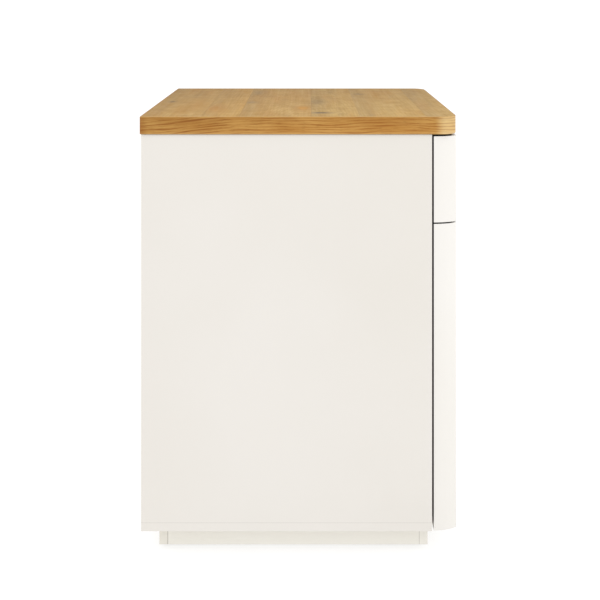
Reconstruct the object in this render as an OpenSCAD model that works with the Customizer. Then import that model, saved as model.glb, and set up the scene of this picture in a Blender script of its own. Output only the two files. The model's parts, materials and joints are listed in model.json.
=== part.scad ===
// Rolling pedestal cabinet: a shallow drawer and a deep file drawer under an oak top, on four
// small castors hidden inside the plinth.
// Millimetres, +Z up. The drawer fronts face -Y, and left is -X, seen from the front.
// The origin is the centre of the footprint, on the floor.

/* [Overall] */
// Width of the oak top
cab_w = 400; // [390:1:440]
// Depth of the oak top, from its front edge to its rear edge
cab_d = 450; // [445:1:520]
// Height from the floor to the top face
cab_h = 623; // [610:1:680]

/* [Oak top] */
// Thickness of the oak top
top_t = 25; // [18:0.5:36]
// Radius of the top's front corners, in plan
top_front_r = 22; // [10:1:40]
// Radius of the top's rear corners, in plan
top_rear_r = 2.5; // [2:0.5:8]
// Thickness of the edge band
band_t = 1.2; // [0.6:0.1:1.8]
// How far the top stands out past each side panel
side_overhang = 2; // [1:0.5:4]
// How far the top stands out past the rear edges of the side panels
rear_overhang = 2; // [0:0.5:10]

/* [Carcass] */
// Thickness of the side panels
side_t = 15; // [14:0.5:18]
// Thickness of the bottom panel
bottom_t = 12; // [12:0.5:18]
// Thickness of the back panel
back_t = 12; // [10:0.5:15]
// Thickness of the two rails under the top
rail_t = 15; // [13:0.5:18]
// Width of the two rails under the top, front to back
rail_w = 80; // [60:1:110]

/* [Plinth] */
// Height of the plinth boards
plinth_h = 31.5; // [29:0.5:40]
// Gap between the plinth and the floor
floor_gap = 4.5; // [3:0.5:8]
// Thickness of the plinth boards
plinth_t = 12; // [10:0.5:15]
// Inset of the plinth from each side panel
plinth_inset = 22.5; // [14:0.5:26]

/* [Drawer fronts] */
// Thickness of the drawer fronts
front_t = 33.6; // [28:0.1:38]
// Radius of the large curve at each side of a front
front_r = 64; // [50:1:90]
// Radius where that curve meets the flat face
front_fillet_r = 4.5; // [2:0.5:8]
// Gap between the fronts and the edges of the side panels
front_gap = 2.5; // [2.3:0.1:2.9]
// Gap between the oak top and the upper front
top_gap = 3; // [1.5:0.5:4]
// Gap between the two fronts
between_gap = 2; // [1.5:0.5:4]
// Height of the upper front
upper_front_h = 122; // [118:1:135]
// How far the lower front ends above the lower edge of the bottom panel
front_lift = 1; // [0:0.5:3]

/* [Drawer boxes] */
// Height of the upper drawer box
upper_box_h = 90; // [70:1:92]
// Height of the file drawer box
file_box_h = 262; // [250:1:270]
// Thickness of the box boards
box_t = 12; // [11.5:0.5:13]
// Thickness of the box bottoms
box_bottom_t = 5; // [4:0.5:6]

/* [Slides] */
// Length of the drawer slides
slide_len = 350; // [340:1:350]
// How far the drawers pull out
pull_travel = 340; // [300:1:340]

/* [Push latches] */
// How far a drawer moves in when it is pushed to release its latch
push_travel = 2; // [1:0.5:2]

/* [Castors] */
// Diameter of the castor wheels
wheel_d = 25; // [24:0.5:26]
// Width of one of the two wheels of a castor
wheel_w = 8; // [6:0.5:8]
// Distance from the swivel axis to the axle
trail = 12; // [11:0.5:12]
// Distance from each castor's swivel axis to the plinth boards beside it
castor_inset = 36; // [33:1:45]

/* [Hidden] */
$fn = 48;

OAK = [0.75, 0.61, 0.42];
OAK_EDGE = [0.72, 0.53, 0.29];
WHITE = [0.94, 0.925, 0.9];
PLINTH_WHITE = [0.91, 0.9, 0.855];
BIRCH = [0.85, 0.76, 0.6];
STEEL = [0.7, 0.71, 0.72];
DARK_STEEL = [0.55, 0.56, 0.58];
GREY_PLASTIC = [0.45, 0.46, 0.47];
BLACK_PLASTIC = [0.13, 0.13, 0.14];

// The two drawers, used as indices into the lists below
UPPER = 0;
FILE = 1;

// Space kept around a screw or dowel in its hole
FIT = 0.03;
// Radial clearance of a shaft that turns or slides in its bore
RUN = 0.06;

// Outer planes of the carcass
front_y = -cab_d / 2;
front_back_y = front_y + front_t;
body_front_y = front_back_y + front_gap;
body_rear_y = cab_d / 2 - rear_overhang;
back_in_y = body_rear_y - back_t;
side_out_x = cab_w / 2 - side_overhang;
side_in_x = side_out_x - side_t;
body_z = floor_gap + plinth_h;
bottom_z = body_z + bottom_t;
top_z = cab_h - top_t;
rail_z = top_z - rail_t;

// Plinth: the front board stands a little behind the edges of the side panels
plinth_setback = 3.5;
plinth_x = side_out_x - plinth_inset;
plinth_front_y = body_front_y + plinth_setback;
plinth_rear_y = body_rear_y - plinth_inset;

// Drawer fronts: [upper, file]
front_top = [top_z - top_gap, top_z - top_gap - upper_front_h - between_gap];
front_bottom = [top_z - top_gap - upper_front_h, body_z + front_lift];

// Drawer boxes: [upper, file]
slide_space = 12.7;
box_x = side_in_x - slide_space;
box_in_x = box_x - box_t;
box_len = slide_len - 4;
box_rear_y = front_back_y + box_len;
box_h = [upper_box_h, file_box_h];
// Each box stands this far above its front's lower edge or the bottom panel
box_lift = 10;
box_z = [front_bottom[UPPER] + box_lift, bottom_z + box_lift];
// Height of the slides' centre line above the lower edge of each box
slide_lift = [45, 127];
slide_z = box_z + slide_lift;
// The box bottoms sit in grooves, this far up and this deep, with a little air in the grooves
box_bottom_gap = 10;
groove_depth = 6;
groove_air = 0.1;
groove_end_gap = 0.5;

// Slide members, measured inwards from the side panel
slide_sheet = 1.2;
slide_h = 45.7;
slide_setback = 2;
slide_front_y = body_front_y + slide_setback;
outer_tip = 10.9;
middle_web = 3;
middle_tip = 11.3;
middle_h = 36.5;
inner_tip = 7.3;
inner_h = 27.3;
ball_r = 1.6;
balls = 6;
cage_t = 1;
cage_w = 4.8;
cage_outer_away = 7;
cage_inner_away = 8.3;
// The cages stay inside both of their members at full travel, with 5 mm to spare at each end
cage_spare = 5;
cage_start = pull_travel / 4 + cage_spare;
cage_len = slide_len - pull_travel / 2 - 2 * cage_spare;

// Push latch, on the back panel behind each drawer
strike_t = 1.5;
strike_w = 34;
strike_h = 22;
plunger_r = 4;
plunger_head_r = 5.2;
plunger_head_t = 1.8;
latch_gap = 4.5;
latch_w = 24;
latch_h = 18;
latch_flange_w = 52;
latch_flange_t = 3;
latch_screw_x = 19;
strike_y = box_rear_y + strike_t;
latch_y = strike_y + latch_gap;
latch_wall = 6;
latch_bore_y = back_in_y - latch_wall;
// Air left behind the plunger when the drawer is pushed right in
plunger_spare = 3;
plunger_len = latch_bore_y - plunger_spare - push_travel - strike_y;

// Hanging-file rails on the inner faces of the file drawer's sides, half of each above the box
hang_t = 2;
hang_h = 24;
hang_end_gap = 2;
hang_z = box_z[FILE] + box_h[FILE] - hang_h / 2;
hang_front_y = front_back_y + box_t + hang_end_gap;
hang_rear_y = box_rear_y - box_t - hang_end_gap;

// Castors: the axle is level with the wheels' centres, the plate hangs under the bottom panel
wheel_r = wheel_d / 2;
web_t = 6;
wheel_gap = 0.4;
axle_r = 2;
// Thickness of the wheels' outer face over the end of the axle
wheel_cap_t = 1;
axle_end_gap = 0.1;
axle_half = web_t / 2 + wheel_gap + wheel_w - wheel_cap_t - axle_end_gap;
plate_t = 2;
plate_w = 42;
plate_z = body_z - plate_t;
pin_r = 3;
pin_len = 8.7;
boss_r = 7.5;
hood_gap = 0.8;
hood_t = 1.7;
castor_x = plinth_x - plinth_t - castor_inset;
castor_y = [plinth_front_y + plinth_t + castor_inset, plinth_rear_y - plinth_t - castor_inset];
// Distance of a plate's screws from the swivel axis, along x and along y
plate_hole = 14;

// Pan-head screws: [length under the head, shank radius, head radius, head height]
TOP_SCREW = [28, 2, 4, 2.2];
FRONT_SCREW = [30, 2, 4, 2.2];
CASTOR_SCREW = [plate_t + 8, 1.75, 3.2, 1.5];
LATCH_SCREW = [latch_flange_t + 8, 1.75, 3.2, 1.5];
OUTER_SLIDE_SCREW = [slide_sheet + 9, 1.75, 3.2, 1.4];
INNER_SLIDE_SCREW = [slide_sheet + 9, 1.75, 3.2, 1.5];
STRIKE_SCREW = [strike_t + 9, 1.5, 3, 1.2];
HANG_SCREW = [hang_t + 8, 1.5, 3, 1.2];
// Countersunk screws: [length, shank radius, head radius]
PLINTH_SCREW = [30, 1.75, 3.5];
BOX_SCREW = [32, 1.75, 3.5];
// Hexagon socket in each head: width across corners, and depth in a pan head and in a flat one
SOCKET_D = 2.5;
PAN_SOCKET = 1;
FLAT_SOCKET = 1.2;

// Where the screws go, from the middle or from the front end of what they hold
top_screw_x = [-120, 0, 120];
front_screw_x = [-120, 120];
strike_screw_x = [-11, 11];
plinth_end_screw_x = [-110, 110];
plinth_side_screw_y = [-80, 90];
outer_slide_screws = [40, 180, 320];
inner_slide_screws = [25, 160, 310];
hang_screw_inset = 20;
// Heights of the screws in a box's corners and in its front, as fractions of its height
corner_rows = [[0.25, 0.8], [0.12, 0.5, 0.88]];
front_screw_rows = [[0.3, 0.75], [0.15, 0.85]];

// Dowels: along the lower edges of the side panels, in the ends of the rails and up the back panel
dowel_r = 3;
dowel_len = 24;
dowel_depth = 8;
side_dowel_y = [-140, 0, 170];
back_dowel_inset = 60;
back_dowel_z = [bottom_z + back_dowel_inset, (bottom_z + top_z) / 2, rail_z - back_dowel_inset];
rail_setback = 3;
front_rail_y = body_front_y + rail_setback;
rear_rail_y = back_in_y - rail_w;
rail_dowel_y = [for (y = [front_rail_y, rear_rail_y], k = [0.25, 0.75]) y + k * rail_w];

// ---------------------------------------------------------------- building blocks

// A board given by its lowest and highest x, y and z
module board(x, y, z) {
    translate([x[0], y[0], z[0]])
        cube([x[1] - x[0], y[1] - y[0], z[1] - z[0]]);
}

module left_and_right() {
    children();
    mirror([1, 0, 0]) children();
}

// Extrudes a profile drawn in x and z along y
module along_y(y0, y1) {
    translate([0, y1, 0])
        rotate([90, 0, 0])
            linear_extrude(y1 - y0) children();
}

// Extrudes a profile drawn in y and z along x, to both sides of x = 0
module along_x(half) {
    rotate([90, 0, 90])
        linear_extrude(2 * half, center = true) children();
}

// A cylinder along x from x0 to x1, at y and z
module x_cylinder(r, x0, x1, y = 0, z = 0) {
    translate([x0, y, z])
        rotate([0, 90, 0])
            cylinder(r = r, h = x1 - x0);
}

// The hexagon socket of a screw whose head ends at z = top
module socket(top, depth) {
    translate([0, 0, top - depth]) cylinder(d = SOCKET_D, h = 2 * depth, $fn = 6);
}

// A wood screw along -Z with its head's underside on z = 0; grow widens it to cut its own hole
module pan_screw(kind, grow = 0) {
    len = kind[0];
    r = kind[1] + grow;
    head_r = kind[2] + grow;
    head_h = kind[3];
    difference() {
        union() {
            translate([0, 0, -len - grow]) cylinder(r = r, h = len + grow + head_h / 2);
            cylinder(r = head_r, h = head_h);
        }
        if (grow == 0) socket(head_h, PAN_SOCKET);
    }
}

// The same with a countersunk head whose top is flush with z = 0
module flat_screw(kind, grow = 0) {
    len = kind[0];
    r = kind[1];
    head_r = kind[2];
    difference() {
        union() {
            translate([0, 0, -len - grow]) cylinder(r = r + grow, h = len);
            translate([0, 0, r - head_r]) cylinder(r1 = r + grow, r2 = head_r + grow, h = head_r - r);
        }
        if (grow == 0) socket(0, FLAT_SOCKET);
    }
}

// Turns a screw so that it is driven along +Z
module driven_up() { rotate([180, 0, 0]) children(); }

// ---------------------------------------------------------------- oak top

// The top in plan, drawn in by inset all round
module top_outline(inset) {
    x = cab_w / 2 - inset;
    y = cab_d / 2 - inset;
    rf = top_front_r - inset;
    rr = top_rear_r - inset;
    translate([-x, -y + rf]) square([2 * x, 2 * y - rf - rr]);
    translate([-x + rf, -y]) square([2 * (x - rf), 2 * rf]);
    translate([-x + rr, y - 2 * rr]) square([2 * (x - rr), 2 * rr]);
    for (s = [-1, 1]) {
        translate([s * (x - rf), -y + rf]) circle(r = rf);
        translate([s * (x - rr), y - rr]) circle(r = rr);
    }
}

module top_panel() {
    color(OAK)
        difference() {
            translate([0, 0, top_z]) linear_extrude(top_t) top_outline(band_t);
            top_screw_shapes(FIT);
        }
}

module top_edge_band() {
    color(OAK_EDGE)
        translate([0, 0, top_z])
            linear_extrude(top_t)
                difference() {
                    top_outline(0);
                    top_outline(band_t);
                }
}

// ---------------------------------------------------------------- carcass

// The right-hand dowels: side panel on bottom panel, rails and back panel on side panel
module dowel_shapes(grow) {
    for (y = side_dowel_y)
        translate([side_out_x - side_t / 2, y, bottom_z - dowel_depth - grow])
            cylinder(r = dowel_r + grow, h = dowel_len + 2 * grow);
    for (y = rail_dowel_y)
        side_dowel(y, rail_z + rail_t / 2, grow);
    for (z = back_dowel_z)
        side_dowel(back_in_y + back_t / 2, z, grow);
}

module side_dowel(y, z, grow) {
    x0 = side_in_x + dowel_depth - dowel_len - grow;
    x_cylinder(dowel_r + grow, x0, side_in_x + dowel_depth + grow, y, z);
}

module carcass_dowels() {
    color(BIRCH) left_and_right() dowel_shapes(0);
}

// Screws up through the rails into the oak top
module top_screw_shapes(grow = 0) {
    for (x = top_screw_x, y = [front_rail_y, rear_rail_y])
        translate([x, y + rail_w / 2, rail_z])
            driven_up() pan_screw(TOP_SCREW, grow);
}

// Screws down through the bottom panel into the plinth boards
module plinth_screw_shapes(grow = 0) {
    for (x = plinth_end_screw_x, y = [plinth_front_y + plinth_t / 2, plinth_rear_y - plinth_t / 2])
        translate([x, y, bottom_z]) flat_screw(PLINTH_SCREW, grow);
    for (s = [-1, 1], y = plinth_side_screw_y)
        translate([s * (plinth_x - plinth_t / 2), y, bottom_z]) flat_screw(PLINTH_SCREW, grow);
}

// Screws up through the castor plates into the bottom panel
module castor_screw_shapes(grow = 0) {
    for (sx = [-1, 1], y = castor_y, a = [-1, 1], b = [-1, 1])
        translate([sx * castor_x + a * plate_hole, y + b * plate_hole, plate_z])
            driven_up() pan_screw(CASTOR_SCREW, grow);
}

module carcass_screws() {
    color(STEEL) {
        top_screw_shapes();
        plinth_screw_shapes();
        castor_screw_shapes();
    }
}

module side_panel() {
    difference() {
        board([side_in_x, side_out_x], [body_front_y, body_rear_y], [bottom_z, top_z]);
        dowel_shapes(FIT);
        for (d = [UPPER, FILE]) slide_screw_shapes(d, FIT);
    }
}

module side_panel_left() {
    color(WHITE) mirror([1, 0, 0]) side_panel();
}

module side_panel_right() {
    color(WHITE) side_panel();
}

module bottom_panel() {
    color(WHITE)
        difference() {
            board([-side_out_x, side_out_x], [body_front_y, body_rear_y], [body_z, bottom_z]);
            left_and_right() dowel_shapes(FIT);
            plinth_screw_shapes(FIT);
            castor_screw_shapes(FIT);
        }
}

module back_panel() {
    color(WHITE)
        difference() {
            board([-side_in_x, side_in_x], [back_in_y, body_rear_y], [bottom_z, top_z]);
            left_and_right() dowel_shapes(FIT);
            for (d = [UPPER, FILE]) latch_screw_shapes(d, FIT);
        }
}

module top_rail(y) {
    difference() {
        board([-side_in_x, side_in_x], [y, y + rail_w], [rail_z, top_z]);
        left_and_right() dowel_shapes(FIT);
        top_screw_shapes(FIT);
    }
}

module top_rail_front() {
    color(BIRCH) top_rail(front_rail_y);
}

module top_rail_rear() {
    color(BIRCH) top_rail(rear_rail_y);
}

// ---------------------------------------------------------------- plinth

module plinth_board(x, y) {
    color(PLINTH_WHITE)
        difference() {
            board(x, y, [floor_gap, body_z]);
            plinth_screw_shapes(FIT);
        }
}

module plinth_front() {
    plinth_board([-plinth_x, plinth_x], [plinth_front_y, plinth_front_y + plinth_t]);
}

module plinth_rear() {
    plinth_board([-plinth_x, plinth_x], [plinth_rear_y - plinth_t, plinth_rear_y]);
}

module plinth_left() {
    plinth_board([-plinth_x, plinth_t - plinth_x], [plinth_front_y + plinth_t, plinth_rear_y - plinth_t]);
}

module plinth_right() {
    plinth_board([plinth_x - plinth_t, plinth_x], [plinth_front_y + plinth_t, plinth_rear_y - plinth_t]);
}

// ---------------------------------------------------------------- drawer fronts

// A front in plan, from its back face at y = 0 to its flat face at y = -front_t.
// Each side is an arc that leaves the back face square, closed by a small fillet.
module front_outline() {
    arc_x = side_out_x - front_r;
    fillet_y = front_t - front_fillet_r;
    reach = front_r - front_fillet_r;
    flat_x = arc_x + sqrt(reach * reach - fillet_y * fillet_y);
    arc_end_y = fillet_y * front_r / reach;
    translate([-flat_x, -front_t]) square([2 * flat_x, front_t]);
    for (s = [-1, 1]) {
        intersection() {
            translate([s * arc_x, 0]) circle(r = front_r);
            translate([min(0, s * side_out_x), -arc_end_y]) square([side_out_x, arc_end_y]);
        }
        translate([s * flat_x, -fillet_y]) circle(r = front_fillet_r);
    }
}

module drawer_front(d) {
    color(WHITE)
        difference() {
            translate([0, front_back_y, front_bottom[d]])
                linear_extrude(front_top[d] - front_bottom[d]) front_outline();
            drawer_screw_shapes(d, FIT);
        }
}

// ---------------------------------------------------------------- drawer boxes

// Every screw of one drawer: front, corners, slide members, strike plate and hanging rails
module drawer_screw_shapes(d, grow = 0) {
    for (x = front_screw_x, k = front_screw_rows[d])
        translate([x, front_back_y + box_t, box_z[d] + k * box_h[d]])
            rotate([-90, 0, 0]) pan_screw(FRONT_SCREW, grow);
    for (x = strike_screw_x)
        translate([x, strike_y, slide_z[d]])
            rotate([-90, 0, 0]) pan_screw(STRIKE_SCREW, grow);
    left_and_right() {
        for (y = [front_back_y + box_t / 2, box_rear_y - box_t / 2], k = corner_rows[d])
            translate([box_x, y, box_z[d] + k * box_h[d]])
                rotate([0, 90, 0]) flat_screw(BOX_SCREW, grow);
        for (y = inner_slide_screws)
            translate([box_x + slide_sheet, slide_front_y + y, slide_z[d]])
                rotate([0, 90, 0]) pan_screw(INNER_SLIDE_SCREW, grow);
        if (d == FILE)
            for (y = hang_screw_y)
                translate([box_in_x - hang_t, y, hang_z + hang_h / 4])
                    rotate([0, -90, 0]) pan_screw(HANG_SCREW, grow);
    }
}

module drawer_screws(d) {
    color(STEEL) drawer_screw_shapes(d);
}

module box_side(d) {
    difference() {
        board([box_in_x, box_x], [front_back_y, box_rear_y], [box_z[d], box_z[d] + box_h[d]]);
        box_bottom_shape(d, groove_air, groove_depth);
        drawer_screw_shapes(d, FIT);
    }
}

module box_left(d) {
    color(BIRCH) mirror([1, 0, 0]) box_side(d);
}

module box_right(d) {
    color(BIRCH) box_side(d);
}

module box_end(d, y) {
    color(BIRCH)
        difference() {
            board([-box_in_x, box_in_x], [y, y + box_t], [box_z[d], box_z[d] + box_h[d]]);
            box_bottom_shape(d, groove_air, groove_depth);
            drawer_screw_shapes(d, FIT);
        }
}

// The bottom, let into grooves in all four boards
module box_bottom_shape(d, grow, depth) {
    x = box_in_x + depth;
    z = box_z[d] + box_bottom_gap;
    board(
        [-x, x],
        [front_back_y + box_t - depth, box_rear_y - box_t + depth],
        [z - grow, z + box_bottom_t + grow]
    );
}

module box_bottom(d) {
    color(BIRCH) box_bottom_shape(d, 0, groove_depth - groove_end_gap);
}

hang_mid_y = (hang_front_y + hang_rear_y) / 2;
hang_screw_y = [hang_front_y + hang_screw_inset, hang_mid_y, hang_rear_y - hang_screw_inset];

module hanging_rails() {
    color(STEEL)
        left_and_right()
            difference() {
                board([box_in_x - hang_t, box_in_x], [hang_front_y, hang_rear_y], [hang_z, hang_z + hang_h]);
                drawer_screw_shapes(FILE, FIT);
            }
}

// ---------------------------------------------------------------- slides

// One member in section: a web with two flanges that end in a small lip.
// web and tip are distances from the side panel, lip is outwards when positive.
module channel_section(web, tip, h, lip) {
    for (s = [-1, 1]) {
        z = s * (h - slide_sheet) / 2;
        lip_tip = tip > web ? tip - slide_sheet : tip;
        translate([side_in_x - max(web, tip), z - slide_sheet / 2])
            square([abs(tip - web), slide_sheet]);
        translate([side_in_x - lip_tip - slide_sheet, z + s * lip - slide_sheet / 2])
            square([slide_sheet, slide_sheet]);
    }
    web_low = tip > web ? web + slide_sheet : web;
    translate([side_in_x - web_low, -h / 2]) square([slide_sheet, h]);
}

module slide_member(d, web, tip, h, lip) {
    translate([0, 0, slide_z[d]])
        along_y(slide_front_y, slide_front_y + slide_len)
            channel_section(web, tip, h, lip);
}

module slide_outer(d) {
    color(STEEL)
        left_and_right()
            difference() {
                slide_member(d, 0, outer_tip, slide_h, -1);
                slide_screw_shapes(d, FIT);
            }
}

module slide_middle(d) {
    color(DARK_STEEL)
        left_and_right() slide_member(d, middle_web, middle_tip, middle_h, 0);
}

module slide_inner(d) {
    color(STEEL)
        left_and_right()
            difference() {
                slide_member(d, slide_space, slide_space - inner_tip, inner_h, 1);
                drawer_screw_shapes(d, FIT);
            }
}

// Screws through the outer members into the side panel
module slide_screw_shapes(d, grow = 0) {
    for (y = outer_slide_screws)
        translate([side_in_x - slide_sheet, slide_front_y + y, slide_z[d]])
            rotate([0, -90, 0]) pan_screw(OUTER_SLIDE_SCREW, grow);
}

// A strip with its balls, once above and once below: away is the distance from the side panel
module ball_cage(d, away, z) {
    color(DARK_STEEL)
        left_and_right()
            for (s = [-1, 1])
                translate([side_in_x - away, slide_front_y + cage_start, slide_z[d] + s * z]) {
                    translate([-cage_w / 2, 0, -cage_t / 2]) cube([cage_w, cage_len, cage_t]);
                    for (i = [0:balls - 1])
                        translate([0, (i + 0.5) * cage_len / balls, 0]) sphere(r = ball_r);
                }
}

outer_ball_z = (slide_h + middle_h) / 4 - slide_sheet / 2;
inner_ball_z = (middle_h + inner_h) / 4 - slide_sheet / 2;

module cage_outer(d) { ball_cage(d, cage_outer_away, outer_ball_z); }
module cage_inner(d) { ball_cage(d, cage_inner_away, inner_ball_z); }

// ---------------------------------------------------------------- push latches

module latch_screw_shapes(d, grow = 0) {
    for (s = [-1, 1])
        translate([s * latch_screw_x, back_in_y - latch_flange_t, slide_z[d]])
            rotate([90, 0, 0]) pan_screw(LATCH_SCREW, grow);
}

module latch_housing(d) {
    color(GREY_PLASTIC)
        difference() {
            union() {
                board([-latch_w / 2, latch_w / 2], [latch_y, back_in_y],
                    [slide_z[d] - latch_h / 2, slide_z[d] + latch_h / 2]);
                board([-latch_flange_w / 2, latch_flange_w / 2], [back_in_y - latch_flange_t, back_in_y],
                    [slide_z[d] - latch_h / 2, slide_z[d] + latch_h / 2]);
            }
            translate([0, latch_bore_y, slide_z[d]])
                rotate([90, 0, 0]) cylinder(r = plunger_r + RUN, h = latch_bore_y - latch_y + 1);
            latch_screw_shapes(d, FIT);
        }
}

module latch_plunger(d) {
    color(BLACK_PLASTIC)
        translate([0, strike_y, slide_z[d]])
            rotate([-90, 0, 0]) {
                cylinder(r = plunger_r, h = plunger_len);
                cylinder(r = plunger_head_r, h = plunger_head_t);
            }
}

module strike_plate(d) {
    color(STEEL)
        difference() {
            board([-strike_w / 2, strike_w / 2], [box_rear_y, strike_y],
                [slide_z[d] - strike_h / 2, slide_z[d] + strike_h / 2]);
            drawer_screw_shapes(d, FIT);
        }
}

module hardware_screws() {
    color(STEEL)
        for (d = [UPPER, FILE]) {
            left_and_right() slide_screw_shapes(d);
            latch_screw_shapes(d);
        }
}

// ---------------------------------------------------------------- castors

// Moves a castor drawn with its swivel axis on the z axis to one of the four corners
module at_castor(side, end) {
    translate([side * castor_x, castor_y[end], 0]) children();
}

module castor_plates() {
    color(STEEL)
        difference() {
            for (side = [-1, 1], end = [0, 1])
                at_castor(side, end) {
                    board([-plate_w / 2, plate_w / 2], [-plate_w / 2, plate_w / 2], [plate_z, body_z]);
                    translate([0, 0, plate_z - pin_len]) cylinder(r = pin_r, h = pin_len + plate_t / 2);
                }
            castor_screw_shapes(FIT);
        }
}

// The fork: a web between the wheels, a hood over them and a boss for the swivel pin
module castor_fork(side, end) {
    clear_r = wheel_r + hood_gap;
    hood_r = clear_r + hood_t;
    hood_z = wheel_r + 2;
    boss_z = wheel_r + 6;
    web_r = wheel_r - 3;
    web_z = wheel_r + 3;
    hood_lip = 0.6;
    axle_press = 0.02;
    pin_end_gap = 0.5;
    swivel_gap = 0.1;
    half = web_t / 2 + wheel_gap + wheel_w + hood_lip;
    color(BLACK_PLASTIC)
        at_castor(side, end)
            difference() {
                union() {
                    difference() {
                        union() {
                            cylinder_at(boss_r, boss_z, plate_z - swivel_gap);
                            along_x(half)
                                intersection() {
                                    translate([trail, wheel_r]) circle(r = hood_r);
                                    translate([trail - hood_r, hood_z]) square([2 * hood_r, hood_r]);
                                }
                        }
                        along_x(half + 1) translate([trail, wheel_r]) circle(r = clear_r);
                    }
                    along_x(web_t / 2) {
                        translate([trail, wheel_r]) circle(r = web_r);
                        translate([-web_t / 2, web_z]) square([trail + web_t / 2, web_r]);
                    }
                }
                cylinder_at(pin_r + RUN, plate_z - pin_len - pin_end_gap, plate_z);
                x_cylinder(axle_r + axle_press, -half, half, trail, wheel_r);
            }
}

module cylinder_at(r, z0, z1) {
    translate([0, 0, z0]) cylinder(r = r, h = z1 - z0);
}

module castor_axle(side, end) {
    color(STEEL)
        at_castor(side, end) x_cylinder(axle_r, -axle_half, axle_half, trail, wheel_r);
}

// Two wheels, each with a bevelled tread, a dished outer face and a blind bore for the axle
module castor_wheels(side, end) {
    bevel = 1;
    rim_r = wheel_r - 3;
    hub_r = 3.5;
    dish = 0.6;
    slope = 0.5;
    color(BLACK_PLASTIC)
        at_castor(side, end)
            for (s = [-1, 1])
                translate([s * (web_t / 2 + wheel_gap), trail, wheel_r])
                    rotate([0, s * 90, 0])
                        rotate_extrude()
                            polygon([
                                [axle_r + RUN, 0],
                                [wheel_r - bevel, 0],
                                [wheel_r, bevel],
                                [wheel_r, wheel_w - bevel],
                                [wheel_r - bevel, wheel_w],
                                [rim_r, wheel_w],
                                [rim_r - slope, wheel_w - dish],
                                [hub_r + slope, wheel_w - dish],
                                [hub_r, wheel_w],
                                [0, wheel_w],
                                [0, wheel_w - wheel_cap_t],
                                [axle_r + RUN, wheel_w - wheel_cap_t]
                            ]);
}

// ---------------------------------------------------------------- nodes

top_panel();
top_edge_band();
side_panel_left();
side_panel_right();
bottom_panel();
back_panel();
top_rail_front();
top_rail_rear();
plinth_front();
plinth_rear();
plinth_left();
plinth_right();
carcass_dowels();
carcass_screws();
slide_outer(UPPER);  // upper_slide_outer
slide_outer(FILE);  // file_slide_outer
hardware_screws();
latch_housing(UPPER);  // upper_latch_housing
latch_housing(FILE);  // file_latch_housing
castor_plates();
drawer_front(UPPER);  // upper_front
box_left(UPPER);  // upper_box_left
box_right(UPPER);  // upper_box_right
box_end(UPPER, front_back_y);  // upper_box_front
box_end(UPPER, box_rear_y - box_t);  // upper_box_back
box_bottom(UPPER);  // upper_box_bottom
slide_inner(UPPER);  // upper_slide_inner
strike_plate(UPPER);  // upper_strike_plate
drawer_screws(UPPER);  // upper_drawer_screws
drawer_front(FILE);  // file_front
box_left(FILE);  // file_box_left
box_right(FILE);  // file_box_right
box_end(FILE, front_back_y);  // file_box_front
box_end(FILE, box_rear_y - box_t);  // file_box_back
box_bottom(FILE);  // file_box_bottom
slide_inner(FILE);  // file_slide_inner
strike_plate(FILE);  // file_strike_plate
drawer_screws(FILE);  // file_drawer_screws
hanging_rails();
slide_middle(UPPER);  // upper_slide_middle
cage_outer(UPPER);  // upper_cage_outer
cage_inner(UPPER);  // upper_cage_inner
slide_middle(FILE);  // file_slide_middle
cage_outer(FILE);  // file_cage_outer
cage_inner(FILE);  // file_cage_inner
latch_plunger(UPPER);  // upper_latch_plunger
latch_plunger(FILE);  // file_latch_plunger
castor_fork(-1, 0);  // castor_fork_front_left
castor_axle(-1, 0);  // castor_axle_front_left
castor_wheels(-1, 0);  // castor_wheels_front_left
castor_fork(1, 0);  // castor_fork_front_right
castor_axle(1, 0);  // castor_axle_front_right
castor_wheels(1, 0);  // castor_wheels_front_right
castor_fork(-1, 1);  // castor_fork_rear_left
castor_axle(-1, 1);  // castor_axle_rear_left
castor_wheels(-1, 1);  // castor_wheels_rear_left
castor_fork(1, 1);  // castor_fork_rear_right
castor_axle(1, 1);  // castor_axle_rear_right
castor_wheels(1, 1);  // castor_wheels_rear_right
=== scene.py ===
import json
import math

import bmesh
import bpy
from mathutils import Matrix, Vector


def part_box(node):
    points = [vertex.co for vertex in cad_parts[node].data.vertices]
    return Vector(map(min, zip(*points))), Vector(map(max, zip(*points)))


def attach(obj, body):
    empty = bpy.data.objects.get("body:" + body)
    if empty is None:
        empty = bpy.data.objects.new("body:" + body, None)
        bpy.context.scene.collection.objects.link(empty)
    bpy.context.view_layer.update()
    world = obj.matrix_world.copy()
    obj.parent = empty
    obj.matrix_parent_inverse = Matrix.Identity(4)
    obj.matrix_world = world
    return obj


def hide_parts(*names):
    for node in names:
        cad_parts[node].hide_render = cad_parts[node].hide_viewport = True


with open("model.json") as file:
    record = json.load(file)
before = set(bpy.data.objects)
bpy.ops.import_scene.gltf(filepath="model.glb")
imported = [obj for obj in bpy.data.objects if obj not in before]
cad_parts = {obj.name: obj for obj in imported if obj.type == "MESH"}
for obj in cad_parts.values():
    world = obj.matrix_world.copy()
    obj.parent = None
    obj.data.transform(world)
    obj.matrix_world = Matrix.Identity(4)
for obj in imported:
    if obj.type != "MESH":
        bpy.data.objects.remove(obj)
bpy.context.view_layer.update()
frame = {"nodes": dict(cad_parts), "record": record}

# Looks of the rolling pedestal cabinet, in metres, +Z up, front at -Y. The CAD nodes stay where the frame
# puts them and get materials, and the boards get softened arrises. Only the oak edge band is rebuilt, with
# rounded arrises.

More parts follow.
